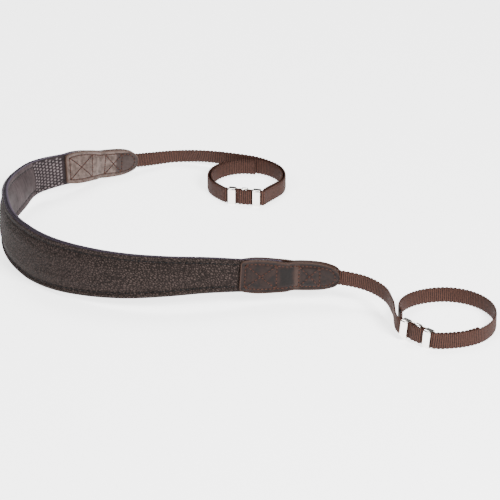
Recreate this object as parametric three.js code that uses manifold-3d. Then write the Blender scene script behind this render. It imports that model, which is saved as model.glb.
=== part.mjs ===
// Camera neck strap standing on its edge: a wide padded leather neck pad, a pair of leather tabs
// at each end of it, and narrow webbing that runs from the tabs through a metal slider buckle
// into a round loop for the camera's lug. Millimetres, +Z up, the floor at z = 0.
import * as THREE from 'three';
import { mergeVertices } from 'three/addons/utils/BufferGeometryUtils.js';
import Module from 'manifold-3d';

// Driving dimensions
const WEBBING = { width: 10, thick: 1.2 };
const PAD = { halfLength: 147.5, tongue: 29, grip: 27, crownOut: 1.5, crownIn: 0.7 };
const LAYERS = { leather: 1.2, lining: 1.0, foamEdge: 1.6, foamInTab: 0.6, gap: 0.25 };
const TAB = { length: 62.3, thick: 1.5, nearEndLift: 0.3 };
const BUCKLE = { length: 21.5, height: 11.6, sheet: 0.65, barWidth: 4.9, middleBar: 4, bend: 1, room: 0.5 };
const LANE = 1.5;
const HOP = 0.95;
const LEATHER_BROWN = '#4a3530';
const PAD_BROWN = '#3a322f';
const FOAM_BLACK = '#1c1b1d';
const LINING_GREY = '#6f6562';
const WEBBING_BROWN = '#5f463d';
const NICKEL = '#d8d4cf';

// Half the pad's width, by distance from its middle
const PAD_OUTLINE = [
  { along: 0, half: 18.4 },
  { along: 37, half: 16.6 },
  { along: 74, half: 14.4 },
  { along: 111, half: 12.0 },
  { along: 147, half: 10.4 },
  { along: 168, half: 10.2 },
  { along: 173.5, half: 9.6 },
  { along: 176.5, half: 8.4 },
];

// Half the tab's width, by distance from its edge on the pad
const TAB_OUTLINE = [
  { along: 0, half: 7.3 },
  { along: 0.6, half: 8.7 },
  { along: 1.6, half: 9.5 },
  { along: 3, half: 9.8 },
  { along: 27, half: 9.7 },
  { along: 31.5, half: 9.3 },
  { along: 38, half: 9.4 },
  { along: 45, half: 9.3 },
  { along: 50, half: 8.9 },
  { along: 53, half: 8.4 },
  { along: 56.7, half: 7.3 },
  { along: 59, half: 6.2 },
  { along: 60.8, half: 4.7 },
  { along: 61.8, half: 3.2 },
  { along: 62.3, half: 1.4 },
];

// The strap's centre line where it isn't looped: place on the floor, height of the centre, and
// degrees by which the top edge leans out of the neck hollow
const STRAP_ROWS = [
  { x: 86.0, y: -108.8, rise: 12.3, lean: 1 },
  { x: 82.0, y: -94.3, rise: 13.6, lean: 0 },
  { x: 73.0, y: -84.5, rise: 15.2, lean: 1 },
  { x: 58.1, y: -78.4, rise: 16.7, lean: 2 },
  { x: 38.9, y: -76.2, rise: 17.3, lean: 2 },
  { x: 18.6, y: -76.8, rise: 17.8, lean: -3 },
  { x: -3.3, y: -79.8, rise: 19.4, lean: -8 },
  { x: -27.2, y: -84.3, rise: 21.6, lean: -11 },
  { x: -52.1, y: -87.0, rise: 22.0, lean: -11 },
  { x: -77.0, y: -84.9, rise: 21.5, lean: -7 },
  { x: -100.5, y: -76.5, rise: 20.6, lean: -3 },
  { x: -121.3, y: -62.6, rise: 19.4, lean: 0 },
  { x: -138.3, y: -42.7, rise: 18.5, lean: 1.5, mark: 'middle' },
  { x: -149.9, y: -21.2, rise: 19.0, lean: -1.4 },
  { x: -155.9, y: 2.6, rise: 19.9, lean: -3.1 },
  { x: -156.2, y: 27.6, rise: 19.8, lean: 2.9 },
  { x: -150.5, y: 52.0, rise: 19.5, lean: 11.8 },
  { x: -142.2, y: 74.4, rise: 18.8, lean: 7 },
  { x: -125.6, y: 89.0, rise: 18.1, lean: 11 },
  { x: -111.8, y: 102.1, rise: 15.3, lean: 11 },
  { x: -100.2, y: 115.4, rise: 11.2, lean: 3 },
  { x: -86.1, y: 123.5, rise: 9.5, lean: 0 },
  { x: -69.1, y: 134.0, rise: 7.0, lean: -4 },
  { x: -50.3, y: 143.0, rise: 5.4, lean: -14 },
  { x: -31.7, y: 137.4, rise: 7.8, lean: -16 },
  { x: -11.5, y: 131.6, rise: 7.8, lean: -6 },
  { x: 8.5, y: 125.8, rise: 6.2, lean: 0 },
];

// Each loop is an oval round its centre. Its webbing passes the buckle twice.
const NEAR_LOOP = { x: 118.7, y: -108.8, reachX: 29.6, reachY: 32.0, rise: 5 };
const FAR_LOOP = { x: -2.4, y: 100.9, reachX: 25.9, reachY: 27.6, rise: 5 };

// A buckle's middle, the way that the webbing runs through it, and its slope along that way
const NEAR_BUCKLE = { x: 99.5, y: -134.5, rise: 6.95, heading: 142, slope: 6 };
const FAR_BUCKLE = { x: -3.5, y: 72.7, rise: 5.8, heading: 167.5, slope: 0 };

// The short bends between a buckle's end and its loop's oval, on the outer and on the inner pass
const NEAR_OUTER_BEND = [
  { x: 119.6, y: -141.2, rise: 5, lean: 0 },
  { x: 112.6, y: -142.3, rise: 5.3, lean: 0 },
];
const NEAR_INNER_BEND = [
  { x: 119.4, y: -139.4, rise: 5, lean: 0 },
  { x: 112.9, y: -140.6, rise: 5.3, lean: 0 },
];
const FAR_OUTER_BEND = [
  { x: 17.4, y: 83.4, rise: 5.1, lean: 0 },
  { x: 13.5, y: 77.5, rise: 5.3, lean: 0 },
  { x: 10.3, y: 72.2, rise: 5.6, lean: 0 },
  { x: 9.3, y: 70.3, rise: 5.7, lean: 0 },
];
const FAR_INNER_BEND = [
  { x: 15.6, y: 84.4, rise: 5.1, lean: 0 },
  { x: 11.8, y: 79.0, rise: 5.3, lean: 0 },
  { x: 9.3, y: 74.2, rise: 5.6, lean: 0 },
  { x: 8.6, y: 72.2, rise: 5.7, lean: 0 },
];

// The middle of the box round the whole strap, which the part's origin stands under
const CENTRE = { x: -5.8, y: 0.6, z: 0 };

const wasm = await Module();
wasm.setup();

const { lerp, smoothstep, degToRad } = THREE.MathUtils;

// Slopes for a smooth curve through unevenly spaced values: each is weighed from its two sides
function slopesOf(places, values) {
  const rates = places.slice(1).map((place, i) => (values[i + 1] - values[i]) / (place - places[i]));
  return places.map((place, i) => {
    if (i === 0 || i === places.length - 1) return i === 0 ? rates[0] : rates[i - 1];
    const before = place - places[i - 1];
    const after = places[i + 1] - place;
    return (rates[i - 1] * after + rates[i] * before) / (before + after);
  });
}

// The curve's value at a place, held at the first and last value outside them
function smoothCurve(places, values) {
  const slopes = slopesOf(places, values);
  return (place) => {
    if (place <= places[0]) return values[0];
    if (place >= places.at(-1)) return values.at(-1);
    const i = places.findIndex((end) => end > place) - 1;
    const span = places[i + 1] - places[i];
    const u = (place - places[i]) / span;
    const bend = u * (1 - u) * span;
    return lerp(values[i], values[i + 1], u * u * (3 - 2 * u))
      + bend * ((1 - u) * slopes[i] - u * slopes[i + 1]);
  };
}

const padHalf = smoothCurve(PAD_OUTLINE.map((row) => row.along), PAD_OUTLINE.map((row) => row.half));
const tabHalf = smoothCurve(TAB_OUTLINE.map((row) => row.along), TAB_OUTLINE.map((row) => row.half));

// Rows along a loop's oval, clockwise, drawn in by an amount that grows from its start to its end
function ovalRows(loop, from, to, count, insetFrom, insetTo, riseFrom, riseTo) {
  return Array.from({ length: count }, (_, i) => {
    const u = count > 1 ? i / (count - 1) : 0;
    const angle = degToRad(lerp(from, to, u));
    const inset = lerp(insetFrom, insetTo, u);
    const x = loop.x + (loop.reachX - inset) * Math.cos(angle);
    const y = loop.y + (loop.reachY - inset) * Math.sin(angle);
    return { x, y, rise: lerp(riseFrom, riseTo, u), lean: 0 };
  });
}

// Rows straight through a buckle, at a distance from its middle plane towards the loop's inside
function buckleRows(buckle, inward, mark) {
  const way = degToRad(buckle.heading);
  const climb = Math.tan(degToRad(buckle.slope));
  return [-11.3, -9.5, 0, 9.5, 11.3].map((t) => ({
    x: buckle.x + t * Math.cos(way) + inward * Math.sin(way),
    y: buckle.y + t * Math.sin(way) - inward * Math.cos(way),
    rise: buckle.rise + t * climb,
    lean: 0,
    mark: t === 0 ? mark : undefined,
  }));
}

// The whole strap as one line, from the near webbing's free end to the far webbing's free end
const LINE_ROWS = [
  ...ovalRows(NEAR_LOOP, -51, -73, 2, 1.7, 1.7, 5, 5),
  ...NEAR_INNER_BEND,
  ...buckleRows(NEAR_BUCKLE, LANE / 2, 'near_inner'),
  ...ovalRows(NEAR_LOOP, -165, -230, 4, 1.0, 0.2, 8.2, 5.6),
  ...ovalRows(NEAR_LOOP, -253, -433, 9, 0, 0, 5, 5),
  ...NEAR_OUTER_BEND,
  ...buckleRows(NEAR_BUCKLE, -LANE / 2, 'near_outer'),
  ...STRAP_ROWS,
  ...ovalRows(FAR_LOOP, 25, -22, 3, 0, 0, 5.4, 5),
  ...FAR_OUTER_BEND,
  ...buckleRows(FAR_BUCKLE, -LANE / 2, 'far_outer'),
  ...ovalRows(FAR_LOOP, -136, -242, 6, 0, 0.6, 5.1, 5),
  ...ovalRows(FAR_LOOP, -265, -382, 6, 1.9, 1.9, 5, 5),
  ...FAR_INNER_BEND,
  ...buckleRows(FAR_BUCKLE, LANE / 2, 'far_inner'),
  ...ovalRows(FAR_LOOP, -496, -646, 8, 1.7, 3.9, 5.1, 5),
];

// A line through the rows, measured along it from the mark in its middle
function centreLine(rows) {
  const places = [0];
  for (let i = 1; i < rows.length; i++) {
    const [a, b] = [rows[i - 1], rows[i]];
    places.push(places[i - 1] + Math.hypot(b.x - a.x, b.y - a.y, b.rise - a.rise));
  }
  const [x, y, rise, lean] = ['x', 'y', 'rise', 'lean']
    .map((column) => smoothCurve(places, rows.map((row) => row[column])));
  const point = (place) => new THREE.Vector3(x(place), y(place), rise(place));

  const stepsPerRow = 8;
  const samples = [];
  const marks = {};
  for (let i = 0; i < rows.length; i++) {
    const span = i < rows.length - 1 ? places[i + 1] - places[i] : 0;
    for (let k = 0; k < (span ? stepsPerRow : 1); k++) {
      const place = places[i] + (span * k) / stepsPerRow;
      const last = samples.at(-1);
      const along = last ? last.along + point(place).distanceTo(last.point) : 0;
      if (k === 0 && rows[i].mark) marks[rows[i].mark] = along;
      samples.push({ place, along, point: point(place) });
    }
  }
  const middle = marks.middle;
  for (const sample of samples) sample.along -= middle;
  for (const name of Object.keys(marks)) marks[name] -= middle;

  const placeAt = (along) => {
    const i = Math.max(1, samples.findIndex((sample) => sample.along >= along));
    const [a, b] = [samples[i - 1], samples[i]];
    return lerp(a.place, b.place, (along - a.along) / (b.along - a.along));
  };

  // The line's point, its direction, the strap's upward edge-to-edge direction, and its inside
  const frameAt = (along) => {
    const place = placeAt(along);
    const reach = 0.5;
    const ahead = point(Math.min(place + reach, places.at(-1)));
    const tangent = ahead.sub(point(Math.max(place - reach, 0))).normalize();
    const level = new THREE.Vector3().crossVectors(tangent, new THREE.Vector3(0, 0, 1)).normalize();
    const upright = new THREE.Vector3().crossVectors(level, tangent);
    const tip = degToRad(lean(place));
    const up = upright.multiplyScalar(Math.cos(tip)).addScaledVector(level, -Math.sin(tip));
    const inside = new THREE.Vector3().crossVectors(tangent, up);
    return { origin: point(place), tangent, up, inside };
  };
  return { frameAt, marks, start: samples[0].along, end: samples.at(-1).along };
}

const line = centreLine(LINE_ROWS);

// Places from one end of a stretch to the other, with every listed break among them
function stations(from, to, step, breaks = []) {
  const stops = [from, ...breaks.filter((place) => place > from && place < to), to].sort((a, b) => a - b);
  const places = [from];
  for (let i = 1; i < stops.length; i++) {
    const parts = Math.max(1, Math.round((stops[i] - stops[i - 1]) / step));
    for (let k = 1; k <= parts; k++) places.push(lerp(stops[i - 1], stops[i], k / parts));
  }
  return places;
}

// A flat strip bent along the line. Half its width, its outer and inner face, and how far its
// middle is lifted off the line are functions.
function strip({ places, across = [-1, 1], half, outer, inner, lift = () => 0 }) {
  const [rows, columns] = [places.length - 1, across.length - 1];
  const geometry = new THREE.BoxGeometry(rows, columns, 1, rows, columns, 1);
  const corners = geometry.attributes.position;
  for (let i = 0; i < corners.count; i++) {
    const along = places[Math.round(corners.getX(i) + rows / 2)];
    const v = across[Math.round(corners.getY(i) + columns / 2)];
    const inward = corners.getZ(i) < 0 ? outer(along, v) : inner(along, v);
    const { origin, up, inside } = line.frameAt(along);
    const height = lift(along) + v * half(along);
    const corner = origin.addScaledVector(up, height).addScaledVector(inside, inward);
    corners.setXYZ(i, corner.x, corner.y, corner.z);
  }
  geometry.computeVertexNormals();
  return geometry;
}

// The pad's layers: a flat sewn rim along both edges, and a crown that swells between the rims
const PAD_ACROSS = [-1, -0.8, -0.4, 0, 0.4, 0.8, 1];
const swell = (v) => smoothstep(0.8 - Math.abs(v), 0, 0.6);
const tabStart = PAD.halfLength;
const padEnd = PAD.halfLength + PAD.tongue;
const intoTab = (along) => smoothstep(Math.abs(along), tabStart - 14, tabStart);
const crown = (along) => 1 - smoothstep(Math.abs(along), tabStart - 34, tabStart - 6);
const foamHalf = (along) => lerp(LAYERS.foamEdge, LAYERS.foamInTab, intoTab(along)) / 2;
const foamOut = (along, v) => -foamHalf(along) - PAD.crownOut * crown(along) * swell(v);
const foamIn = (along, v) => foamHalf(along) + PAD.crownIn * crown(along) * swell(v);
const leatherIn = (along, v) => foamOut(along, v) - LAYERS.gap;
const leatherOut = (along, v) => leatherIn(along, v) - LAYERS.leather;
const liningOut = (along, v) => foamIn(along, v) + LAYERS.gap;
const liningIn = (along, v) => liningOut(along, v) + LAYERS.lining;
const padWidth = (along) => padHalf(Math.abs(along));

function padLayer(from, to, outer, inner) {
  const ends = [tabStart, padEnd - 8, padEnd - 3];
  const places = stations(from, to, 7, [...ends, ...ends.map((end) => -end)]);
  return strip({ places, across: PAD_ACROSS, half: padWidth, outer, inner });
}

// Each tab lies on the padded end, then steps down past it on to the webbing. The near tab's
// narrow end is sewn on a little high.
const stackInTab = LAYERS.foamInTab / 2 + LAYERS.gap + LAYERS.leather + LAYERS.gap;
const stackOnWebbing = WEBBING.thick / 2 + LAYERS.gap;
const tabSeat = (along) => lerp(stackInTab, stackOnWebbing, smoothstep(Math.abs(along), padEnd + 0.5, padEnd + 5.5));

function tabLayer(side, face) {
  const from = tabStart;
  const steps = [...TAB_OUTLINE.map((row) => from + row.along), padEnd - 3, padEnd, padEnd + 2];
  const places = stations(from, from + TAB.length, 5, steps).map((place) => side * place);
  if (side < 0) places.reverse();
  const near = (along) => face * tabSeat(along);
  const far = (along) => face * (tabSeat(along) + TAB.thick);
  return strip({
    places,
    across: [-1, -0.5, 0.5, 1],
    half: (along) => tabHalf(Math.abs(along) - tabStart),
    lift: (along) => (side < 0 ? TAB.nearEndLift * smoothstep(-along, padEnd - 2, padEnd + 7) : 0),
    outer: face < 0 ? far : near,
    inner: face < 0 ? near : far,
  });
}

// The webbing hops out over the buckle's middle bar on its outer pass
function hopOver(along, mark) {
  const distance = Math.abs(along - line.marks[mark]);
  return -HOP * (1 - smoothstep(distance, 2.6, 5.4));
}

// One webbing, with closer stations where it hops, and where it bends at the buckle's ends
const HOP_STEPS = [-5.4, -4, -2.6, 0, 2.6, 4, 5.4];
const BEND_STEPS = [-14.4, -13.2, -12.2, -11.6, -11, 11, 11.6, 12.2, 13.2, 14.4];

function webbing(from, to, name) {
  const outerMark = line.marks[`${name}_outer`];
  const innerMark = line.marks[`${name}_inner`];
  const breaks = [
    ...[...HOP_STEPS, ...BEND_STEPS].map((step) => outerMark + step),
    ...BEND_STEPS.map((step) => innerMark + step),
  ];
  const shift = (along) => hopOver(along, `${name}_outer`);
  return strip({
    places: stations(from, to, 3, breaks),
    half: () => WEBBING.width / 2,
    outer: (along) => shift(along) - WEBBING.thick / 2,
    inner: (along) => shift(along) + WEBBING.thick / 2,
  });
}

function toSolid(geometry) {
  const bare = geometry.clone();
  bare.deleteAttribute('normal');
  bare.deleteAttribute('uv');
  const welded = mergeVertices(bare, 1e-5);
  return new wasm.Manifold(new wasm.Mesh({
    numProp: 3,
    vertProperties: new Float32Array(welded.attributes.position.array),
    triVerts: new Uint32Array(welded.index.array),
  }));
}

function toGeometry(solid) {
  const mesh = solid.getMesh();
  const geometry = new THREE.BufferGeometry();
  geometry.setAttribute('position', new THREE.BufferAttribute(new Float32Array(mesh.vertProperties), 3));
  geometry.setIndex(new THREE.BufferAttribute(new Uint32Array(mesh.triVerts), 1));
  geometry.computeVertexNormals();
  return geometry;
}

// A rectangle with rounded corners, drawn in the plane of the buckle's cross-section
function roundedOutline(path, left, bottom, right, top, radius) {
  path.moveTo(left + radius, bottom);
  path.lineTo(right - radius, bottom);
  path.absarc(right - radius, bottom + radius, radius, -Math.PI / 2, 0);
  path.lineTo(right, top - radius);
  path.absarc(right - radius, top - radius, radius, 0, Math.PI / 2);
  path.lineTo(left + radius, top);
  path.absarc(left + radius, top - radius, radius, Math.PI / 2, Math.PI);
  path.lineTo(left, bottom + radius);
  path.absarc(left + radius, bottom + radius, radius, Math.PI, Math.PI * 1.5);
  return path;
}

// One sleeve of bent sheet round the webbing: x runs inward, y up, and z along the buckle
function sleeve(front, back, width, middle) {
  const { height, sheet, bend } = BUCKLE;
  const half = height / 2;
  const shape = roundedOutline(new THREE.Shape(), front, -half, back, half, bend);
  const hole = roundedOutline(new THREE.Path(), front + sheet, sheet - half, back - sheet, half - sheet, bend / 3);
  shape.holes.push(hole);
  const geometry = new THREE.ExtrudeGeometry(shape, { depth: width, bevelEnabled: false, curveSegments: 3 });
  geometry.translate(0, 0, middle - width / 2);
  return toSolid(geometry);
}

// Three sleeves on one back plate: the middle one stands between the webbing's two passes
function buckle() {
  const { length, height, sheet, barWidth, middleBar, room } = BUCKLE;
  const back = LANE / 2 + WEBBING.thick / 2 + 0.3 + sheet;
  const front = -back - room;
  const middleFront = LANE / 2 - WEBBING.thick / 2 - 0.3 - sheet;
  const end = (length - barWidth) / 2;
  const plate = new THREE.BoxGeometry(sheet, height - 2 * BUCKLE.bend, length);
  plate.translate(back - sheet / 2, 0, 0);
  return toGeometry(toSolid(plate)
    .add(sleeve(front, back, barWidth, -end))
    .add(sleeve(front, back, barWidth, end))
    .add(sleeve(middleFront, back, middleBar, 0)));
}

const strap = new THREE.Group();

function addPiece(name, geometry, color, roughness, metalness = 0) {
  const mesh = new THREE.Mesh(geometry, new THREE.MeshStandardMaterial({ color, roughness, metalness }));
  mesh.name = name;
  strap.add(mesh);
  return mesh;
}

// The buckle stands where the webbing's outer pass goes through it, half a lane further in
function addBuckle(name, mark) {
  const { origin, tangent, up, inside } = line.frameAt(line.marks[mark]);
  const mesh = addPiece(name, buckle(), NICKEL, 0.18, 1);
  mesh.position.copy(origin).addScaledVector(inside, LANE / 2);
  mesh.quaternion.setFromRotationMatrix(new THREE.Matrix4().makeBasis(inside, up, tangent.negate()));
}

const gripStart = tabStart - PAD.grip;
const gripEnd = padEnd - 3;
addPiece('pad_outer_leather', padLayer(-padEnd, padEnd, leatherOut, leatherIn), PAD_BROWN, 0.5);
addPiece('pad_foam', padLayer(-padEnd + 2, padEnd - 2, foamOut, foamIn), FOAM_BLACK, 0.9);
addPiece('pad_lining', padLayer(-gripStart, gripStart, liningOut, liningIn), LINING_GREY, 0.7);
for (const [side, name] of [[-1, 'near'], [1, 'far']]) {
  const grip = [side * (gripStart + 0.3), side * gripEnd].sort((a, b) => a - b);
  addPiece(`${name}_grip_panel`, padLayer(...grip, liningOut, liningIn), LINING_GREY, 0.8);
  addPiece(`${name}_tab_outer`, tabLayer(side, -1), LEATHER_BROWN, 0.6);
  addPiece(`${name}_tab_inner`, tabLayer(side, 1), LEATHER_BROWN, 0.6);
  const sewnEnd = side * (padEnd + 1.5);
  const stretch = side < 0 ? [line.start, sewnEnd] : [sewnEnd, line.end];
  addPiece(`${name}_webbing`, webbing(...stretch, name), WEBBING_BROWN, 0.85);
  addBuckle(`${name}_buckle`, `${name}_outer`);
}

strap.position.set(-CENTRE.x, -CENTRE.y, -CENTRE.z);

export default strap;
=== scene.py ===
import math

import bmesh
import bpy
import numpy as np
from mathutils import Matrix, Vector


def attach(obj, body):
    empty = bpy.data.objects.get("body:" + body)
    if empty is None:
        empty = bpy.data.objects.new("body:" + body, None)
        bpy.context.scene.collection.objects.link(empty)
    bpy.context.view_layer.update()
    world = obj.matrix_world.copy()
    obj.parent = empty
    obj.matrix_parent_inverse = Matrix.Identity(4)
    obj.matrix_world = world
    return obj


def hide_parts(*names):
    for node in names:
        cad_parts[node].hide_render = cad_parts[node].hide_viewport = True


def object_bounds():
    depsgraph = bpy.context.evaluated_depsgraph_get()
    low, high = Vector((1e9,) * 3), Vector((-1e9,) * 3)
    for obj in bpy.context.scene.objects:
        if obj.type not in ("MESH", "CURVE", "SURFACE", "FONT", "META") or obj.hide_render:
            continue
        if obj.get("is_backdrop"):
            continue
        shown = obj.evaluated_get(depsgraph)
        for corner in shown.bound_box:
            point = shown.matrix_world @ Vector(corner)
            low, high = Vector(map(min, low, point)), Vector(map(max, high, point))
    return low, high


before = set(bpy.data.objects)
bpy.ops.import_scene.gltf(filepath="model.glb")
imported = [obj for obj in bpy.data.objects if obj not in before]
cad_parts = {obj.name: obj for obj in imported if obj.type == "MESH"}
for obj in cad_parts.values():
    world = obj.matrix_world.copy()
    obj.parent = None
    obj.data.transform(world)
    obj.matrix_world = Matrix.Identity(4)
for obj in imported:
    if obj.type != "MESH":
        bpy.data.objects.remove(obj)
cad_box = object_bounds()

# Sizes in millimetres. Lengths, widths and the centre line are as in the part's own source, and
# the leather, lining and tab sheets are 0.1 thicker than there. LANE is how far apart a buckle
# holds the webbing's two layers. HOP is how far the outer one steps out over the middle bar.
LANE = 1.5
HOP = 0.95
HOP_HALF_FLAT = 2.6
HOP_HALF_LENGTH = 5.4
PAD_HALF_LENGTH = 147.5
PAD_END = 176.5
GRIP_START = 120.5
TAB_LENGTH = 62.3
NEAR_TAB_END_LIFT = 0.3
TAB_THICK = 1.6
FOAM_HALF = 0.8
FOAM_HALF_IN_TAB = 0.3
LEATHER_THICK = 1.3
LINING_THICK = 1.1
CROWN_OUT = 1.5
CROWN_IN = 0.7
CROWN_SHOULDER = 7
CUT_ROUNDING = 0.3
RIM_ROLL_WIDTH = 0.9
OUTER_RIM_ROLL = 0.45
INNER_RIM_ROLL = 0.4
RIM_SWELL = 0.3
RIM_SWELL_INSET = 1.7
GROOVE_DEPTH = 0.95
GROOVE_HALF_WIDTH = 0.9
PAD_STITCH_INSET = 3.5
PAD_STITCH_PITCH = 4.1
PAD_STITCH_RADIUS = 0.62
PAD_HOLE_RADIUS = 0.5
TAB_STITCH_INSET = 2.6
TAB_STITCH_PITCH = 2.5
TAB_STITCH_RADIUS = 0.36
TAB_HOLE_RADIUS = 0.45
HOLE_HEIGHT = 0.12
TAB_DENT_DEPTH = 0.25
TAB_DENT_HALF_WIDTH = 0.8
TAB_RIM_RISE = 0.15
SEAM_GAP = 0.05
SEAT_ON_WEBBING = 0.68
SEAT_BESIDE_WEBBING = 0.06
GRIP_COLUMN_PITCH = 2.8
GRIP_ROW_PITCH = 2.1
GRIP_BUMP_RIM = 1.2
GRIP_BUMP_HALF_SIZES = (1.05, 0.72, 0.4)
GRIP_BUMP_SLANT = 0.3
RIB_PITCH = 1.3
WEBBING_HALF_WIDTH = 5.0
WEBBING_THICK = 1.2

# The share of its pitch that a stitch covers
PAD_STITCH_COVER = 0.6
TAB_STITCH_COVER = 0.8

# Half the pad's and half the tab's width, by distance along each
PAD_ALONG = [0, 37, 74, 111, 147, 168, 173.5, 176.5]
PAD_HALF = [18.4, 16.6, 14.4, 12.0, 10.4, 10.2, 9.6, 8.4]
TAB_ALONG = [0, 0.6, 1.6, 3, 27, 31.5, 38, 45, 50, 53, 56.7, 59, 60.8, 61.8, 62.3]
TAB_HALF = [7.3, 8.7, 9.5, 9.8, 9.7, 9.3, 9.4, 9.3, 8.9, 8.4, 7.3, 6.2, 4.7, 3.2, 1.4]

# The strap's centre line where it isn't looped: x, y, height, and degrees of outward lean
STRAP_ROWS = [
    (86.0, -108.8, 12.3, 1), (82.0, -94.3, 13.6, 0), (73.0, -84.5, 15.2, 1),
    (58.1, -78.4, 16.7, 2), (38.9, -76.2, 17.3, 2), (18.6, -76.8, 17.8, -3),
    (-3.3, -79.8, 19.4, -8), (-27.2, -84.3, 21.6, -11), (-52.1, -87.0, 22.0, -11),
    (-77.0, -84.9, 21.5, -7), (-100.5, -76.5, 20.6, -3), (-121.3, -62.6, 19.4, 0),
    (-138.3, -42.7, 18.5, 1.5),
    (-149.9, -21.2, 19.0, -1.4), (-155.9, 2.6, 19.9, -3.1), (-156.2, 27.6, 19.8, 2.9),
    (-150.5, 52.0, 19.5, 11.8), (-142.2, 74.4, 18.8, 7), (-125.6, 89.0, 18.1, 11),
    (-111.8, 102.1, 15.3, 11), (-100.2, 115.4, 11.2, 3), (-86.1, 123.5, 9.5, 0),
    (-69.1, 134.0, 7.0, -4), (-50.3, 143.0, 5.4, -14), (-31.7, 137.4, 7.8, -16),
    (-11.5, 131.6, 7.8, -6), (8.5, 125.8, 6.2, 0),
]
PAD_MIDDLE_ROW = 12
NEAR_LOOP = dict(x=118.7, y=-108.8, reach_x=29.6, reach_y=32.0)
FAR_LOOP = dict(x=-2.4, y=100.9, reach_x=25.9, reach_y=27.6)
NEAR_BUCKLE = dict(x=99.5, y=-134.5, rise=6.95, heading=142, slope=6)
FAR_BUCKLE = dict(x=-3.5, y=72.7, rise=5.8, heading=167.5, slope=0)
BUCKLE_STOPS = (-11.3, -9.5, 0, 9.5, 11.3)
NEAR_OUTER_BEND = [(119.6, -141.2, 5, 0), (112.6, -142.3, 5.3, 0)]
NEAR_INNER_BEND = [(119.4, -139.4, 5, 0), (112.9, -140.6, 5.3, 0)]
FAR_OUTER_BEND = [(17.4, 83.4, 5.1, 0), (13.5, 77.5, 5.3, 0), (10.3, 72.2, 5.6, 0), (9.3, 70.3, 5.7, 0)]
FAR_INNER_BEND = [(15.6, 84.4, 5.1, 0), (11.8, 79.0, 5.3, 0), (9.3, 74.2, 5.6, 0), (8.6, 72.2, 5.7, 0)]
CENTRE = (-5.8, 0.6, 0.0)


def smoothstep(value, low, high):
    share = np.clip((value - low) / (high - low), 0, 1)
    return share * share * (3 - 2 * share)


def mix(a, b, share):
    return a + (b - a) * share


def run_along(points):
    """The distance run along a path, at each of its points."""
    return np.concatenate([[0], np.cumsum(np.linalg.norm(np.diff(points, axis=0), axis=1))])


def smooth_curve(places, values, wanted):
    """Values of a smooth curve through unevenly spaced rows, at the wanted places."""
    places = np.asarray(places, float)
    values = np.asarray(values, float).reshape(len(places), -1)
    wanted = np.clip(np.asarray(wanted, float), places[0], places[-1])
    spans = np.diff(places)
    rates = np.diff(values, axis=0) / spans[:, None]
    slopes = np.empty_like(values)
    slopes[0], slopes[-1] = rates[0], rates[-1]
    before, after = spans[:-1, None], spans[1:, None]
    slopes[1:-1] = (rates[:-1] * after + rates[1:] * before) / (before + after)
    row = np.clip(np.searchsorted(places, wanted, side="right") - 1, 0, len(spans) - 1)
    span = spans[row][:, None]
    u = (wanted - places[row])[:, None] / span
    bend = u * (1 - u) * span
    level = mix(values[row], values[row + 1], u * u * (3 - 2 * u))
    return level + bend * ((1 - u) * slopes[row] - u * slopes[row + 1])


def oval_rows(loop, start, end, count, inset_start, inset_end, rise_start, rise_end):
    """Rows of the centre line on a loop's oval, from one angle in degrees to another."""
    rows = []
    for share in np.linspace(0, 1, count):
        angle = math.radians(mix(start, end, share))
        inset = mix(inset_start, inset_end, share)
        x = loop["x"] + (loop["reach_x"] - inset) * math.cos(angle)
        y = loop["y"] + (loop["reach_y"] - inset) * math.sin(angle)
        rows.append((x, y, mix(rise_start, rise_end, share), 0))
    return rows


def buckle_rows(buckle, inward):
    """Rows of the centre line where a buckle holds one layer of webbing straight."""
    way = math.radians(buckle["heading"])
    climb = math.tan(math.radians(buckle["slope"]))
    rows = []
    for stop in BUCKLE_STOPS:
        x = buckle["x"] + stop * math.cos(way) + inward * math.sin(way)
        y = buckle["y"] + stop * math.sin(way) - inward * math.cos(way)
        rows.append((x, y, buckle["rise"] + stop * climb, 0))
    return rows


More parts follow.
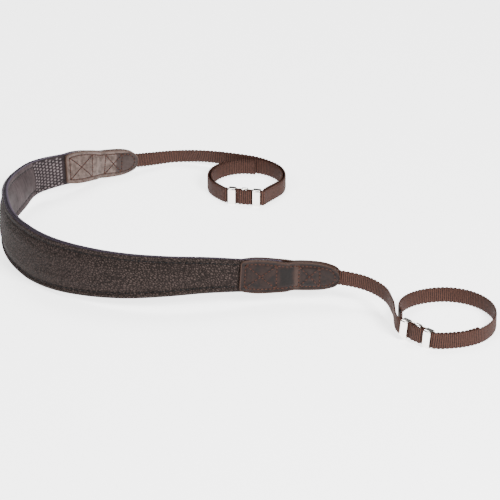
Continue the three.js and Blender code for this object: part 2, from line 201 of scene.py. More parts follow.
class CentreLine:
    """The strap's line from the near webbing's free end to the far webbing's, 0 at the pad's middle."""

    FINE_STEP = 0.1
    STEP = 0.25

    def __init__(self):
        stretches = [
            ("", oval_rows(NEAR_LOOP, -51, -73, 2, 1.7, 1.7, 5, 5)),
            ("", NEAR_INNER_BEND),
            ("near_inner", buckle_rows(NEAR_BUCKLE, LANE / 2)),
            ("", oval_rows(NEAR_LOOP, -165, -230, 4, 1.0, 0.2, 8.2, 5.6)),
            ("", oval_rows(NEAR_LOOP, -253, -433, 9, 0, 0, 5, 5)),
            ("", NEAR_OUTER_BEND),
            ("near_outer", buckle_rows(NEAR_BUCKLE, -LANE / 2)),
            ("middle", STRAP_ROWS),
            ("", oval_rows(FAR_LOOP, 25, -22, 3, 0, 0, 5.4, 5)),
            ("", FAR_OUTER_BEND),
            ("far_outer", buckle_rows(FAR_BUCKLE, -LANE / 2)),
            ("", oval_rows(FAR_LOOP, -136, -242, 6, 0, 0.6, 5.1, 5)),
            ("", oval_rows(FAR_LOOP, -265, -382, 6, 1.9, 1.9, 5, 5)),
            ("", FAR_INNER_BEND),
            ("far_inner", buckle_rows(FAR_BUCKLE, LANE / 2)),
            ("", oval_rows(FAR_LOOP, -496, -646, 8, 1.7, 3.9, 5.1, 5)),
        ]
        rows, marked = [], {}
        for name, stretch in stretches:
            if name:
                marked[name] = len(rows) + (PAD_MIDDLE_ROW if name == "middle" else BUCKLE_STOPS.index(0))
            rows.extend(stretch)
        rows = np.array(rows, float)
        places = run_along(rows[:, :3])
        fine = np.arange(0, places[-1], self.FINE_STEP)
        curve = smooth_curve(places, rows, fine)
        along = run_along(curve[:, :3])
        middle = np.interp(places[marked["middle"]], fine, along)
        self.marks = {name: np.interp(places[i], fine, along) - middle for name, i in marked.items()}
        self.start, self.end = -middle, along[-1] - middle
        self.along = np.arange(self.start, self.end, self.STEP)
        at = np.column_stack([np.interp(self.along + middle, along, column) for column in curve.T])
        self.origin = at[:, :3] - CENTRE
        self.tangent = self.unit(np.gradient(self.origin, axis=0))
        level = self.unit(np.cross(self.tangent, (0, 0, 1)))
        upright = np.cross(level, self.tangent)
        tip = np.radians(at[:, 3])[:, None]
        self.up = upright * np.cos(tip) - level * np.sin(tip)
        self.inside = np.cross(self.tangent, self.up)

    @staticmethod
    def unit(vectors):
        return vectors / np.linalg.norm(vectors, axis=1)[:, None]

    def at(self, field, along):
        return np.column_stack([np.interp(along, self.along, column) for column in field.T])

    def lay(self, flat):
        """Points given as (along, up, inward) on the flat strap, laid on the bent one."""
        place = self.at(self.origin, flat[:, 0])
        place += self.at(self.up, flat[:, 0]) * flat[:, 1:2]
        return place + self.at(self.inside, flat[:, 0]) * flat[:, 2:3]


line = CentreLine()


def pad_half(along):
    return smooth_curve(PAD_ALONG, PAD_HALF, np.abs(along)).ravel()


def tab_half(along):
    return smooth_curve(TAB_ALONG, TAB_HALF, np.abs(along) - PAD_HALF_LENGTH).ravel()


def srgb(code):
    """A hex colour as the linear colour that a shader takes."""
    parts = [int(code[i:i + 2], 16) / 255 for i in (1, 3, 5)]
    return [p / 12.92 if p <= 0.04045 else ((p + 0.055) / 1.055) ** 2.4 for p in parts] + [1]


def add(material, kind, inputs=None, **settings):
    """A new node with its settings, and with each input set, or linked to a socket or a node."""
    tree = material.node_tree
    node = tree.nodes.new(kind)
    for name, value in settings.items():
        setattr(node, name, value)
    for name, value in (inputs or {}).items():
        if isinstance(value, bpy.types.Node):
            value = next(socket for socket in value.outputs if socket.enabled)
        if isinstance(value, bpy.types.NodeSocket):
            tree.links.new(value, node.inputs[name])
        else:
            node.inputs[name].default_value = value
    return node


def start_material(name):
    material = bpy.data.materials.new(name)
    material.use_nodes = True
    material.node_tree.nodes.clear()
    return material


def finish_material(material, shader_inputs):
    shader = add(material, "ShaderNodeBsdfPrincipled", shader_inputs)
    add(material, "ShaderNodeOutputMaterial", {"Surface": shader.outputs["BSDF"]})
    return material


def flat_place(material, size=(1, 1, 1), turn=0):
    """Millimetres along, across and through the strap, turned, and then divided by a size."""
    laid = add(material, "ShaderNodeAttribute", attribute_name="laid_flat")
    return add(material, "ShaderNodeMapping", {
        "Vector": laid.outputs["Vector"], "Scale": size, "Rotation": (0, 0, turn)}, vector_type="TEXTURE")


def near_cut_edge(material, width):
    """1 on a sheet's cut edge, and 0 further in than the width."""
    away = add(material, "ShaderNodeAttribute", attribute_name="from_edge")
    return add(material, "ShaderNodeMapRange", {
        "Value": away.outputs["Fac"], "From Min": width * 0.7, "From Max": width, "To Min": 1, "To Max": 0},
        interpolation_type="SMOOTHSTEP")


# How wide the paint on a cut edge shows, with its painted highlight, and the painted highlight on a tab's rim
EDGE_PAINT_AND_HIGHLIGHT = 0.45
RIM_HIGHLIGHT_WIDTH = 0.9


def pebbled_leather():
    # Drum-dyed cowhide with a slanted embossed pebble, about 0.8 by 1.3 mm, and a glossy painted edge, whose
    # grey-purple colour is partly a painted highlight
    material = start_material("pebbled cowhide, dark brown")
    place = flat_place(material, (1.7, 1.05, 1.2), 0.6)
    drift = add(material, "ShaderNodeTexNoise", {"Vector": place, "Scale": 0.6, "Detail": 2.0})
    bent = add(material, "ShaderNodeMix", {
        "Factor": 0.35, "A": place, "B": drift.outputs["Color"]}, data_type="VECTOR")
    pebble = add(material, "ShaderNodeTexVoronoi", {
        "Vector": bent, "Scale": 1.35}, feature="DISTANCE_TO_EDGE")
    dome = add(material, "ShaderNodeMapRange", {
        "Value": pebble.outputs["Distance"], "From Min": 0.0, "From Max": 0.3, "To Min": 0, "To Max": 1},
        interpolation_type="SMOOTHSTEP")
    grain = add(material, "ShaderNodeTexNoise", {"Vector": flat_place(material), "Scale": 0.8, "Detail": 3.0})
    height = add(material, "ShaderNodeMath", {0: dome, 1: grain}, operation="ADD")
    bump = add(material, "ShaderNodeBump", {"Height": height, "Strength": 0.9, "Distance": 0.0004})
    tone = add(material, "ShaderNodeMix", {"Factor": 0.4, "A": dome, "B": grain})
    # The pebbles' tops are coloured lighter and the creases between them darker, as painted highlight and
    # painted shade, with random grain mixed in
    skin = add(material, "ShaderNodeMix", {
        "Factor": add(material, "ShaderNodeMapRange", {"Value": tone, "From Min": 0.1, "From Max": 1.0}),
        "A": srgb("#0f0d0c"), "B": srgb("#3f3532")}, data_type="RGBA")
    edge = near_cut_edge(material, EDGE_PAINT_AND_HIGHLIGHT)
    # The cut edge: dark edge paint, lightened to grey-purple as a painted highlight line
    colour = add(material, "ShaderNodeMix", {
        "Factor": edge, "A": skin, "B": srgb("#2c262e")}, data_type="RGBA")
    rough = add(material, "ShaderNodeMix", {"Factor": edge, "A": 0.62, "B": 0.3})
    return finish_material(material, {
        "Base Color": colour, "Roughness": rough, "IOR": 1.5, "Specular IOR Level": 0.03, "Normal": bump})


def foam_rubber():
    # Two skins of black foam with a grey core between them, die cut, so the edge shows three bands; the grey
    # band is also lightened as a painted highlight line
    material = start_material("closed-cell foam, black with a grey core")
    pores = add(material, "ShaderNodeTexVoronoi", {"Vector": flat_place(material), "Scale": 2.2})
    bump = add(material, "ShaderNodeBump", {
        "Height": pores.outputs["Distance"], "Strength": 0.4, "Distance": 0.00015})
    parts = add(material, "ShaderNodeSeparateXYZ", {"Vector": flat_place(material)})
    depth = add(material, "ShaderNodeMath", {0: parts.outputs["Z"]}, operation="ABSOLUTE")
    # The grey middle band is partly a grey core and partly a painted highlight line
    core = add(material, "ShaderNodeMapRange", {
        "Value": depth, "From Min": 0.2, "From Max": 0.36, "To Min": 1, "To Max": 0},
        interpolation_type="SMOOTHSTEP")
    colour = add(material, "ShaderNodeMix", {
        "Factor": core, "A": srgb("#050406"), "B": srgb("#2a262b")}, data_type="RGBA")
    return finish_material(material, {
        "Base Color": colour, "Roughness": 0.7, "Specular IOR Level": 0.1, "Normal": bump})


def lining_hide(name, dark, light):
    # Thin smooth split hide with faint creases across it, and a painted edge whose grey-purple is partly a
    # painted highlight
    material = start_material(name)
    creases = add(material, "ShaderNodeTexNoise", {
        "Vector": flat_place(material, (1.6, 9.0, 2.0), 0.12), "Scale": 1.0, "Detail": 4.0})
    soft = add(material, "ShaderNodeTexNoise", {"Vector": flat_place(material), "Scale": 0.06, "Detail": 3.0})
    tone = add(material, "ShaderNodeMix", {"Factor": 0.55, "A": creases, "B": soft})
    shade = add(material, "ShaderNodeMapRange", {"Value": tone, "From Min": 0.35, "From Max": 0.65})
    hide = add(material, "ShaderNodeMix", {
        "Factor": shade, "A": srgb(dark), "B": srgb(light)}, data_type="RGBA")
    # The cut edge: dark edge paint, lightened to a pale grey-purple as a painted highlight line
    colour = add(material, "ShaderNodeMix", {
        "Factor": near_cut_edge(material, EDGE_PAINT_AND_HIGHLIGHT), "A": hide, "B": srgb("#463f49")}, data_type="RGBA")
    bump = add(material, "ShaderNodeBump", {"Height": creases, "Strength": 0.5, "Distance": 0.0004})
    return finish_material(material, {
        "Base Color": colour, "Roughness": 0.6, "IOR": 1.45, "Specular IOR Level": 0.05, "Normal": bump})


def bridle_leather(name, dark, light, rim, tone_and_highlight_zones):
    # Waxed smooth leather with a raised rim, coloured paler there as a painted highlight, and darker or paler
    # in zones along its middle, which fade out over a couple of millimetres; the paler zones are painted
    # highlight
    fade_along, fade_across = 2, 1.5
    material = start_material(name)
    place = flat_place(material)
    fibre = add(material, "ShaderNodeTexNoise", {"Vector": place, "Scale": 1.3, "Detail": 6.0})
    clouds = add(material, "ShaderNodeTexNoise", {"Vector": place, "Scale": 0.3, "Detail": 6.0})
    shade = add(material, "ShaderNodeMapRange", {"Value": clouds, "From Min": 0.35, "From Max": 0.65})
    colour = add(material, "ShaderNodeMix", {
        "Factor": shade, "A": srgb(dark), "B": srgb(light)}, data_type="RGBA")
    parts = add(material, "ShaderNodeSeparateXYZ", {"Vector": place})
    length = add(material, "ShaderNodeMath", {0: parts.outputs["X"]}, operation="ABSOLUTE")
    off_middle = add(material, "ShaderNodeMath", {0: parts.outputs["Y"]}, operation="ABSOLUTE")
    for start, end, tint, amount, reach in tone_and_highlight_zones:
        inside = amount
        for value, low, high, first in (
                (length, start, start + fade_along, 0),
                (length, end - fade_along, end, 1),
                (off_middle, reach - fade_across, reach, 1)):
            side = add(material, "ShaderNodeMapRange", {
                "Value": value, "From Min": low, "From Max": high, "To Min": first, "To Max": 1 - first},
                interpolation_type="SMOOTHSTEP")
            inside = add(material, "ShaderNodeMath", {0: side, 1: inside}, operation="MULTIPLY")
        # A zone's colour: a darker tone, or a painted highlight where the zone is paler
        colour = add(material, "ShaderNodeMix", {
            "Factor": inside, "A": colour, "B": srgb(tint)}, data_type="RGBA")
    # A paler band round the rim: a painted highlight where the raised rim catches light
    colour = add(material, "ShaderNodeMix", {
        "Factor": near_cut_edge(material, RIM_HIGHLIGHT_WIDTH), "A": colour, "B": srgb(rim)}, data_type="RGBA")
    bump = add(material, "ShaderNodeBump", {"Height": fibre, "Strength": 0.45, "Distance": 0.0003})
    return finish_material(material, {
        "Base Color": colour, "Roughness": 0.45, "IOR": 1.5, "Specular IOR Level": 0.14, "Normal": bump})


def woven_nylon(name, groove_painted_shade, rib_painted_highlight):
    # Ribbed nylon webbing of matt threads, coloured lighter along each rib as a painted highlight and darker
    # between the ribs as painted shade
    material = start_material(name)
    parts = add(material, "ShaderNodeSeparateXYZ", {"Vector": flat_place(material)})
    along = add(material, "ShaderNodeMath", {0: parts.outputs["X"], 1: RIB_PITCH}, operation="DIVIDE")
    rib = add(material, "ShaderNodeMath", {0: along, 1: 0.5}, operation="PINGPONG")
    threads = add(material, "ShaderNodeTexNoise", {
        "Vector": flat_place(material, (1.1, 0.3, 0.3)), "Scale": 1.0, "Detail": 3.0})
    spread = add(material, "ShaderNodeMath", {0: threads, 1: 0.5}, operation="SUBTRACT")
    level = add(material, "ShaderNodeMath", {0: rib, 1: spread}, operation="ADD")
    # Lighter on each rib as painted highlight, darker between ribs as painted shade
    shade = add(material, "ShaderNodeMapRange", {"Value": level, "From Min": 0.08, "From Max": 0.42})
    colour = add(material, "ShaderNodeMix", {
        "Factor": shade, "A": srgb(groove_painted_shade), "B": srgb(rib_painted_highlight)}, data_type="RGBA")
    bump = add(material, "ShaderNodeBump", {"Height": threads, "Strength": 0.6, "Distance": 0.00015})
    return finish_material(material, {
        "Base Color": colour, "Roughness": 0.7, "Specular IOR Level": 0.12, "Normal": bump})


def sewing_thread(name, dark, light):
    # Bonded polyester thread: a slight shine along each stitch
    material = start_material(name)
    fibre = add(material, "ShaderNodeTexNoise", {"Vector": flat_place(material), "Scale": 3.0, "Detail": 2.0})
    shade = add(material, "ShaderNodeMapRange", {"Value": fibre, "From Min": 0.3, "From Max": 0.7})
    colour = add(material, "ShaderNodeMix", {
        "Factor": shade, "A": srgb(dark), "B": srgb(light)}, data_type="RGBA")
    return finish_material(material, {"Base Color": colour, "Roughness": 0.55, "Specular IOR Level": 0.14})


def nickel_plate():
    # Bright nickel plate on bent steel, with faint rubbed patches
    material = start_material("bright nickel plate")
    spot = add(material, "ShaderNodeTexCoord")
    rubbed = add(material, "ShaderNodeTexNoise", {
        "Vector": spot.outputs["Object"], "Scale": 260.0, "Detail": 3.0})
    rough = add(material, "ShaderNodeMapRange", {
        "Value": rubbed, "From Min": 0.2, "From Max": 0.8, "To Min": 0.08, "To Max": 0.22})
    return finish_material(material, {"Base Color": srgb("#f2ede6"), "Metallic": 1.0, "Roughness": rough})


# Zones along a tab, from the pad's middle: start, end, colour, share, and reach to each side. The paler
# zone on each tab, where it steps down off the pad's end, is a painted highlight
NEAR_TONE_AND_HIGHLIGHT_ZONES = [(171.5, 181, "#0a0605", 0.85, 6.2), (180.5, 186, "#382923", 0.6, 9)]
FAR_TONE_AND_HIGHLIGHT_ZONES = [(174, 178, "#63554f", 0.6, 6.2), (192, 212, "#241a18", 0.85, 8)]

FINISHES = {
    "pad_leather": pebbled_leather(),
    "foam": foam_rubber(),
    "lining": lining_hide("smooth split hide, grey-brown", "#2b2525", "#443b3c"),
    "grip": lining_hide("moulded grip face, dark grey", "#1b1718", "#2c2627"),
    # The grip bumps are coloured paler than the grip face between them
    "grip_bump": lining_hide("grip bumps, paler grey", "#4b4344", "#635a5b"),
    # The two tabs are one leather in two painted copies: the far one paler as lit, the near one darker as
    # shaded
    "near_tab": bridle_leather(
        "waxed bridle leather, painted as shaded", "#0f0908", "#20130f", "#30211b", NEAR_TONE_AND_HIGHLIGHT_ZONES),
    "far_tab": bridle_leather(
        "waxed bridle leather, painted as lit", "#3c312c", "#594b46", "#453630", FAR_TONE_AND_HIGHLIGHT_ZONES),
    "webbing": woven_nylon("ribbed nylon webbing, brown", "#110907", "#432a22"),
    "pad_thread": sewing_thread("bonded thread, black", "#030303", "#0b090a"),
    "lining_thread": sewing_thread("bonded thread, dark grey", "#1c1819", "#2b2627"),
    "tab_thread": sewing_thread("bonded thread, russet", "#28150f", "#42271d"),
    "needle_hole": sewing_thread("needle hole, in shadow", "#020202", "#060505"),
    "nickel": nickel_plate(),
}


def finish_piece(name, bm, finish, nodes=(), laid=True, crease=40, edge=None):
    """A finished piece: its mesh is laid on the strap's line, in metres, and takes its finish."""
    bmesh.ops.recalc_face_normals(bm, faces=bm.faces[:])
    mesh = bpy.data.meshes.new(name)
    bm.to_mesh(mesh)
    bm.free()
    flat = np.empty(len(mesh.vertices) * 3)
    mesh.vertices.foreach_get("co", flat)
    kept = mesh.attributes.new("laid_flat", "FLOAT_VECTOR", "POINT")
    kept.data.foreach_set("vector", flat)
    flat = flat.reshape(-1, 3)
    if edge:
        away = mesh.attributes.new("from_edge", "FLOAT", "POINT")
        away.data.foreach_set("value", edge(flat[:, 0], flat[:, 1]))
    if laid:
        mesh.vertices.foreach_set("co", (line.lay(flat) / 1000).ravel())
    mesh.polygons.foreach_set("use_smooth", np.ones(len(mesh.polygons), bool))
    mesh.set_sharp_from_angle(angle=math.radians(crease))
    mesh.update()
    piece = bpy.data.objects.new(name, mesh)
    bpy.context.scene.collection.objects.link(piece)
    mesh.materials.append(FINISHES[finish])
    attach(piece, "root")
    if nodes:
        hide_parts(*nodes)
    return piece


def join(whole, bm):
    """Adds one bmesh to another, and frees it."""
    part = bpy.data.meshes.new("part")
    bm.to_mesh(part)
    bm.free()
    whole.from_mesh(part)
    bpy.data.meshes.remove(part)


def ovals(places, rings=6):
    """A small ball at each place, which also stretches and turns it. They are joined in batches."""
    places = list(places)
    in_batch = 30
    whole = bmesh.new()
    for first in range(0, len(places), in_batch):
        batch = bmesh.new()
        for place in places[first:first + in_batch]:
            bmesh.ops.create_uvsphere(batch, u_segments=8, v_segments=rings, radius=1, matrix=place)
        join(whole, batch)
    return whole


def move_vertices(bm, shift):
    """Moves every vertex as shift says, which takes and returns arrays of along, up and depth."""
    flat = np.array([v.co for v in bm.verts])
    moved = np.column_stack(shift(flat[:, 0], flat[:, 1], flat[:, 2]))
    for vertex, place in zip(bm.verts, moved):
        vertex.co = place


def folded_edges(bm, angle):
    """The edges where two faces meet at more than an angle, in radians."""
    return [edge for edge in bm.edges if len(edge.link_faces) == 2 and edge.calc_face_angle() > angle]


def round_edges(bm, edges, radius, segments):
    bmesh.ops.bevel(bm, geom=edges, offset=radius, offset_type="OFFSET", segments=segments,
                    profile=0.5, affect="EDGES", clamp_overlap=True, material=-1)


def cut_sheet(start, end, steps, half, thick, rounding):
    """A flat sheet with rounded edges, cut to a width that changes along it, from z = 0 to thick."""
    bm = bmesh.new()
    bmesh.ops.create_grid(bm, x_segments=steps[0], y_segments=steps[1], size=1)

    def to_width(x, y, z):
        along = mix(start, end, (x + 1) / 2)
        return along, y * half(along), z
    move_vertices(bm, to_width)
    lifted = bmesh.ops.extrude_face_region(bm, geom=bm.faces[:], use_keep_orig=True)
    top = [item for item in lifted["geom"] if isinstance(item, bmesh.types.BMVert)]
    bmesh.ops.translate(bm, verts=top, vec=(0, 0, thick))
    bmesh.ops.recalc_face_normals(bm, faces=bm.faces[:])
    round_edges(bm, folded_edges(bm, 0.8), rounding, 2)
    return bm


def in_tab(along):
    return smoothstep(np.abs(along), PAD_HALF_LENGTH - 14, PAD_HALF_LENGTH)


def foam_half(along):
    return mix(FOAM_HALF, FOAM_HALF_IN_TAB, in_tab(along))


def puff(along, up):
    """How far the padding swells, from nothing at the sewn rim to 1 along the middle."""
    fade = 1 - smoothstep(np.abs(along), PAD_HALF_LENGTH - 34, PAD_HALF_LENGTH - 6)
    return fade * smoothstep(from_pad_edge(along, up), PAD_STITCH_INSET, PAD_STITCH_INSET + CROWN_SHOULDER)


def from_pad_edge(along, up):
    return pad_half(along) - np.abs(up)


def sewn_groove(along, up):
    """The dent that the row of stitches pulls along the rim, deepest at each stitch."""
    pull = 0.75 + 0.25 * np.cos(2 * math.pi * along / PAD_STITCH_PITCH)
    shown = 1 - smoothstep(np.abs(along), PAD_HALF_LENGTH - 2, PAD_HALF_LENGTH + 2)
    off_row = from_pad_edge(along, up) - PAD_STITCH_INSET
    return shown * pull * GROOVE_DEPTH * np.exp(-(off_row / GROOVE_HALF_WIDTH) ** 2)


def pad_outer_face(along, up):
    from_edge = from_pad_edge(along, up)
    rim_roll = OUTER_RIM_ROLL * smoothstep(RIM_ROLL_WIDTH - from_edge, 0, RIM_ROLL_WIDTH)
    rim_swell = RIM_SWELL * (1 - in_tab(along)) * np.exp(-(from_edge - RIM_SWELL_INSET) ** 2)
    swell = CROWN_OUT * puff(along, up) + rim_swell
    return -(foam_half(along) + LEATHER_THICK) - swell + sewn_groove(along, up) + rim_roll


def pad_inner_face(along, up):
    from_edge = from_pad_edge(along, up)
    rim_roll = INNER_RIM_ROLL * smoothstep(RIM_ROLL_WIDTH - from_edge, 0, RIM_ROLL_WIDTH)
    swell = CROWN_IN * puff(along, up)
    return foam_half(along) + LINING_THICK + swell - 0.7 * sewn_groove(along, up) - rim_roll


def build_pad():
    skin = cut_sheet(-PAD_END, PAD_END, (340, 44), pad_half, LEATHER_THICK, 0.35)
    move_vertices(skin, lambda x, y, z: (x, y, pad_outer_face(x, y) + z))
    finish_piece("pad_leather", skin, "pad_leather", ["pad_outer_leather"], edge=from_pad_edge)

    foam_end = PAD_END - 2
    core = cut_sheet(-foam_end, foam_end, (220, 20), lambda s: pad_half(s) - 0.15, 1.0, CUT_ROUNDING)

    def core_depth(x, y, z):
        outer = pad_outer_face(x, y) + LEATHER_THICK
        inner = pad_inner_face(x, y) - LINING_THICK
        return x, y, mix(outer, inner, z)
    move_vertices(core, core_depth)
    foam = finish_piece("pad_foam_core", core, "foam", ["pad_foam"])

    def inward(x, y, z):
        return x, y, pad_inner_face(x, y) - LINING_THICK + z
    face = cut_sheet(-GRIP_START, GRIP_START, (240, 44), pad_half, LINING_THICK, CUT_ROUNDING)
    move_vertices(face, inward)
    finish_piece("pad_lining_face", face, "lining", ["pad_lining"], edge=from_pad_edge)
    for side, name in ((-1, "near"), (1, "far")):
        ends = sorted((side * (GRIP_START + 0.15), side * (PAD_END - 3)))
        grip = cut_sheet(*ends, (60, 36), pad_half, LINING_THICK, CUT_ROUNDING)
        move_vertices(grip, inward)
        finish_piece(f"{name}_grip_face", grip, "grip", [f"{name}_grip_panel"], edge=from_pad_edge)
        bumps = ovals(grip_bump_places(side))
        finish_piece(f"{name}_grip_bumps", bumps, "grip_bump", edge=from_pad_edge)


def grip_bump_places(side):
    """Slanted oval bumps in columns from the grip panel's start to the tab."""
    columns = int((PAD_HALF_LENGTH - GRIP_START) / GRIP_COLUMN_PITCH)
    bump = Matrix.Rotation(GRIP_BUMP_SLANT, 4, "Z") @ Matrix.Diagonal((*GRIP_BUMP_HALF_SIZES, 1))
    for column in range(columns):
        along = side * (GRIP_START + (column + 0.5) * GRIP_COLUMN_PITCH)
        reach = pad_half(np.array([along]))[0] - GRIP_BUMP_RIM
        ups = np.arange(-reach + 0.5 * GRIP_ROW_PITCH * (column % 2), reach, GRIP_ROW_PITCH)
        depths = pad_inner_face(np.full_like(ups, along), ups)
        for up, depth in zip(ups, depths):
            yield Matrix.Translation((along, up, depth)) @ bump


def tab_seat(along, up):
    """How far a tab's under face lies from the middle plane: over the pad, then over the webbing."""
    lobe = mix(SEAT_ON_WEBBING, SEAT_BESIDE_WEBBING, smoothstep(np.abs(up), 5.2, 7.6))
    step = smoothstep(np.abs(along), PAD_END - 0.5, PAD_END + 5.5)
    return mix(FOAM_HALF_IN_TAB + LEATHER_THICK + SEAM_GAP, lobe, step)


# The stitching of a tab: where its two boxes and its arc lie, from the tab's edge on the pad
BOX_ONE = (3.2, 22.9)
BOX_TWO = (36.9, 49.8)
ARC_START = 52.0
ARC_END = 59.6


def tab_rim(along):
    """Half the width between a tab's two long rows of stitches."""
    return tab_half(PAD_HALF_LENGTH + np.asarray(along, float)) - TAB_STITCH_INSET


def tab_paths():
    """Paths of a tab's stitches, flat: one round it, and the ends and cross of each box."""
    alongs = np.linspace(BOX_ONE[0], ARC_START, 40)
    top = np.column_stack([alongs, tab_rim(alongs)])
    turns = np.linspace(0.15, math.pi / 2, 12)
    arc = np.column_stack([mix(ARC_START, ARC_END, np.sin(turns)), top[-1, 1] * np.cos(turns)])
    half = np.vstack([top, arc])
    paths = [np.vstack([half, half[-2::-1] * (1, -1)])]
    for box in (BOX_ONE, BOX_TWO):
        start, end = tab_rim(box)
        paths += [[(box[0], -start), (box[0], start)], [(box[1], -end), (box[1], end)],
                  [(box[0], -start), (box[1], end)], [(box[0], start), (box[1], -end)]]
    return paths


def stitch_ends(path, pitch):
    """Evenly spaced places along a path on the flat strap, about a pitch apart."""
    path = np.array(path, float)
    run = run_along(path)
    stops = np.linspace(0, run[-1], max(2, round(run[-1] / pitch) + 1))
    return np.column_stack([np.interp(stops, run, column) for column in path.T])


def stitches(path, pitch, face, facing, radius, cover):
    """One oval stitch after another along a path, partly sunk in the surface."""
    ends = stitch_ends(path, pitch)
    middles = (ends[1:] + ends[:-1]) / 2
    depths = face(middles[:, 0], middles[:, 1]) + facing * radius * 0.25
    for (along, up), way, depth in zip(middles, ends[1:] - ends[:-1], depths):
        turn = Matrix.Rotation(math.atan2(way[1], way[0]), 4, "Z")
        size = Matrix.Diagonal((math.hypot(*way) * cover / 2, radius, radius * 0.8, 1))
        yield Matrix.Translation((along, up, depth)) @ turn @ size


def needle_holes(path, pitch, face, facing, radius):
    """A dark disc of painted shadow, standing for a needle hole, at both ends of a path and between each two
    stitches on it.
    """
    ends = stitch_ends(path, pitch)
    depths = face(ends[:, 0], ends[:, 1]) + facing * HOLE_HEIGHT / 4
    for (along, up), depth in zip(ends, depths):
        yield Matrix.Translation((along, up, depth)) @ Matrix.Diagonal((radius, radius, HOLE_HEIGHT, 1))


def build_pad_stitches():
    reach = PAD_HALF_LENGTH - 1.5
    rim = np.linspace(-reach, reach, 145)
    for name, face, facing, thread in (
            ("outer", pad_outer_face, -1, "pad_thread"), ("lining", pad_inner_face, 1, "lining_thread")):
        sewn, hole_shadows = [], []
        for way in (-1, 1):
            path = np.column_stack([rim, way * (pad_half(rim) - PAD_STITCH_INSET)])
            sewn += stitches(path, PAD_STITCH_PITCH, face, facing, PAD_STITCH_RADIUS, PAD_STITCH_COVER)
            hole_shadows += needle_holes(path, PAD_STITCH_PITCH, face, facing, PAD_HOLE_RADIUS)
        finish_piece(f"pad_stitches_{name}", ovals(sewn), thread)
        finish_piece(f"pad_needle_holes_{name}", ovals(hole_shadows, rings=4), "needle_hole")


def tab_lift(side, along):
    """How far the near tab's narrow end is sewn above the webbing's middle."""
    return NEAR_TAB_END_LIFT * (side < 0) * smoothstep(np.abs(along), PAD_END - 2, PAD_END + 7)


def from_tab_edge(side, along, up):
    from_rim = tab_half(along) - np.abs(up - tab_lift(side, along))
    return np.minimum(from_rim, np.abs(along) - PAD_HALF_LENGTH)


def tab_face(side, facing, along, up):
    """Depth of a tab's outside: a raised rim, and dents along its rows of stitches."""
    level = up - tab_lift(side, along)
    local = np.abs(along) - PAD_HALF_LENGTH
    inner_half = tab_half(along) - TAB_STITCH_INSET
    dent = np.exp(-((inner_half - np.abs(level)) / TAB_DENT_HALF_WIDTH) ** 2) * (local > 1.5)
    for stop in (*BOX_ONE, *BOX_TWO):
        across = np.exp(-((local - stop) / TAB_DENT_HALF_WIDTH) ** 2) * (np.abs(level) < inner_half)
        dent = np.maximum(dent, across)
    rim = TAB_RIM_RISE * (1 - smoothstep(from_tab_edge(side, along, up), 1.1, 2.0))
    return facing * (tab_seat(along, level) + TAB_THICK + rim - TAB_DENT_DEPTH * dent)


def build_tabs():
    for side, end_name in ((-1, "near"), (1, "far")):
        thread, hole_shadows = [], []
        for facing, face_name in ((-1, "outer"), (1, "inner")):
            ends = sorted((side * PAD_HALF_LENGTH, side * (PAD_HALF_LENGTH + TAB_LENGTH)))
            bm = cut_sheet(*ends, (150, 30), tab_half, TAB_THICK, 0.32)

            def face(along, up):
                return tab_face(side, facing, along, up)

            def shape(x, y, z):
                under = facing * tab_seat(x, y)
                lifted = y + tab_lift(side, x)
                return x, lifted, mix(under, face(x, lifted), z / TAB_THICK)
            move_vertices(bm, shape)
            finish_piece(f"{end_name}_tab_{face_name}_leather", bm, f"{end_name}_tab",
                         [f"{end_name}_tab_{face_name}"], edge=lambda x, y: from_tab_edge(side, x, y))
            for path in tab_paths():
                alongs, ups = np.array(path, float).T
                alongs = side * (PAD_HALF_LENGTH + alongs)
                laid = np.column_stack([alongs, ups + tab_lift(side, alongs)])
                thread += stitches(laid, TAB_STITCH_PITCH, face, facing, TAB_STITCH_RADIUS, TAB_STITCH_COVER)
                hole_shadows += needle_holes(laid, TAB_STITCH_PITCH, face, facing, TAB_HOLE_RADIUS)
        finish_piece(f"{end_name}_tab_stitches", ovals(thread), "tab_thread")
        finish_piece(f"{end_name}_tab_needle_holes", ovals(hole_shadows, rings=4), "needle_hole")


def build_webbing():
    for side, name in ((-1, "near"), (1, "far")):
        sewn_end = side * (PAD_END + 1.5)
        ends = sorted((sewn_end, line.start if side < 0 else line.end))
        ribs = round((ends[1] - ends[0]) / RIB_PITCH)
        hop_at = line.marks[f"{name}_outer"]
        bm = cut_sheet(*ends, (ribs * 6, 8), lambda s: np.full_like(s, WEBBING_HALF_WIDTH - 0.12), 1.0, 0.12)

        def weave(x, y, z):
            rib = np.abs(np.sin(math.pi * x / RIB_PITCH)) ** 0.8
            edge = smoothstep(np.abs(y), WEBBING_HALF_WIDTH - 1.1, WEBBING_HALF_WIDTH - 0.1)
            thick = mix(0.44 + 0.16 * rib, 0.26 + 0.14 * rib, edge)
            hop = -HOP * (1 - smoothstep(np.abs(x - hop_at), HOP_HALF_FLAT, HOP_HALF_LENGTH))
            scallop = 0.5 * edge * (np.abs(np.sin(math.pi * x / RIB_PITCH / 2)) - 0.6)
            return x, y + np.sign(y) * scallop, hop + (2 * z - 1) * thick
        move_vertices(bm, weave)
        finish_piece(f"{name}_webbing_strap", bm, "webbing", [f"{name}_webbing"], crease=60)


# The widths of a buckle's end bars and middle bar, the room that its end bars leave in front of the
# webbing, how far its sheet clears the webbing, and how far its cut rims are rounded
BUCKLE = dict(length=21.5, height=11.6, sheet=0.65, bar=4.9, middle=4.0, bend=1.0, room=0.5,
              clear=0.3, rim=0.14)


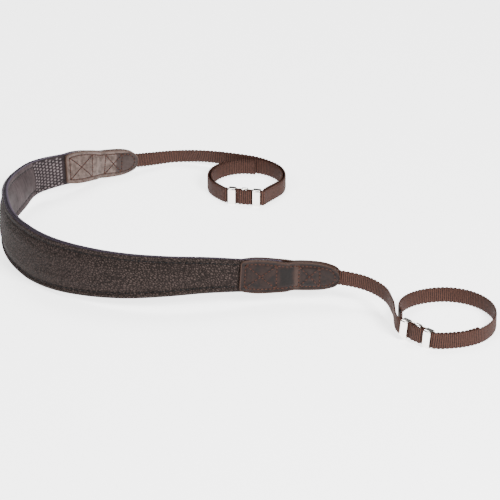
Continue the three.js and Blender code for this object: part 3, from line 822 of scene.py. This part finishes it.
def bent_sleeve(front, back, width, middle):
    """One sleeve of bent sheet round the webbing: x runs inward, y up and z along the buckle."""
    bm = bmesh.new()
    place = Matrix.Translation(((front + back) / 2, 0, middle))
    size = Matrix.Diagonal((back - front, BUCKLE["height"], width, 1))
    bmesh.ops.create_cube(bm, size=1, matrix=place @ size)
    ends = [face for face in bm.faces if abs(face.normal.z) > 0.9]
    bmesh.ops.delete(bm, geom=ends, context="FACES_ONLY")
    folds = [edge for edge in bm.edges if abs(edge.verts[0].co.z - edge.verts[1].co.z) > width / 2]
    round_edges(bm, folds, BUCKLE["bend"], 5)
    bmesh.ops.recalc_face_normals(bm, faces=bm.faces[:])
    bmesh.ops.solidify(bm, geom=bm.faces[:], thickness=BUCKLE["sheet"])
    bmesh.ops.recalc_face_normals(bm, faces=bm.faces[:])
    round_edges(bm, folded_edges(bm, 1.2), BUCKLE["rim"], 2)
    return bm


def build_buckles():
    sheet = BUCKLE["sheet"]
    wall = BUCKLE["clear"] + sheet
    back = LANE / 2 + WEBBING_THICK / 2 + wall
    front = -back - BUCKLE["room"]
    middle_front = LANE / 2 - WEBBING_THICK / 2 - wall
    end = (BUCKLE["length"] - BUCKLE["bar"]) / 2
    rail_place = Matrix.Translation((back - sheet / 2, 0, 0))
    rail_size = Matrix.Diagonal((sheet, BUCKLE["height"] - 2 * BUCKLE["bend"], BUCKLE["length"], 1))
    for name in ("near", "far"):
        whole = bmesh.new()
        for sleeve_front, width, middle in (
                (front, BUCKLE["bar"], -end),
                (front, BUCKLE["bar"], end),
                (middle_front, BUCKLE["middle"], 0)):
            join(whole, bent_sleeve(sleeve_front, back, width, middle))
        rail = bmesh.ops.create_cube(whole, size=1, matrix=rail_place @ rail_size)
        rail_edges = [edge for edge in whole.edges if set(edge.verts) <= set(rail["verts"])]
        round_edges(whole, rail_edges, BUCKLE["rim"], 2)
        at = np.array([line.marks[f"{name}_outer"]])
        origin, tangent, up, inside = (
            Vector(line.at(field, at)[0]) for field in (line.origin, line.tangent, line.up, line.inside))
        frame_matrix = Matrix((inside, up, -tangent)).transposed().to_4x4()
        frame_matrix.translation = origin + inside * LANE / 2
        bmesh.ops.transform(whole, matrix=Matrix.Scale(0.001, 4) @ frame_matrix, verts=whole.verts[:])
        finish_piece(f"{name}_slide_buckle", whole, "nickel", [f"{name}_buckle"],
                     laid=False, crease=35)


def build_stage():
    """The floor, the room and three softboxes, each with its place and size in metres and its watts."""
    floor_half = 6
    bm = bmesh.new()
    bmesh.ops.create_grid(bm, x_segments=1, y_segments=1, size=floor_half)
    mesh = bpy.data.meshes.new("floor")
    bm.to_mesh(mesh)
    bm.free()
    floor = bpy.data.objects.new("floor", mesh)
    bpy.context.scene.collection.objects.link(floor)
    paper = start_material("white paper sweep, lit from below")
    mesh.materials.append(finish_material(paper, {
        "Base Color": srgb("#fafafa"), "Roughness": 0.9, "Specular IOR Level": 0.1,
        "Emission Color": srgb("#ffffff"), "Emission Strength": 2.4}))
    floor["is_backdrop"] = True

    world = bpy.data.worlds.new("soft white room")
    bpy.context.scene.world = world
    world.use_nodes = True
    world.node_tree.nodes["Background"].inputs["Color"].default_value = (1, 1, 1, 1)
    world.node_tree.nodes["Background"].inputs["Strength"].default_value = 0.12

    for name, place, size, power in (
            ("key softbox", (0.7, -1.0, 0.9), 0.5, 50),
            ("fill softbox", (-0.9, -0.9, 1.1), 0.5, 13),
            ("back softbox", (-0.1, 0.7, 1.2), 0.6, 16)):
        light = bpy.data.lights.new(name, "AREA")
        light.size = size
        light.energy = power
        lamp = bpy.data.objects.new(name, light)
        lamp.location = place
        lamp.rotation_euler = (-Vector(place)).to_track_quat("-Z", "Y").to_euler()
        bpy.context.scene.collection.objects.link(lamp)


# The camera, found from the photo's two round loops: degrees above level, and millimetres
TILT = 24.5
CAMERA_DISTANCE = 1804.6
FOCAL_PIXELS = 2821.9
PHOTO_PIXELS = 500
SENSOR = 36.0


def build_camera():
    camera = bpy.data.cameras.new("camera")
    camera.sensor_width = SENSOR
    camera.lens = SENSOR * FOCAL_PIXELS / PHOTO_PIXELS
    holder = bpy.data.objects.new("camera", camera)
    tilt = math.radians(TILT)
    back = Vector((0, -math.cos(tilt), math.sin(tilt))) * CAMERA_DISTANCE
    holder.location = (back - Vector(CENTRE)) / 1000
    holder.rotation_euler = (math.radians(90 - TILT), 0, 0)
    bpy.context.scene.collection.objects.link(holder)
    bpy.context.scene.camera = holder


build_pad()
build_pad_stitches()
build_tabs()
build_webbing()
build_buckles()
build_stage()
build_camera()

[[list(corner) for corner in box] for box in (cad_box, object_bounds())]
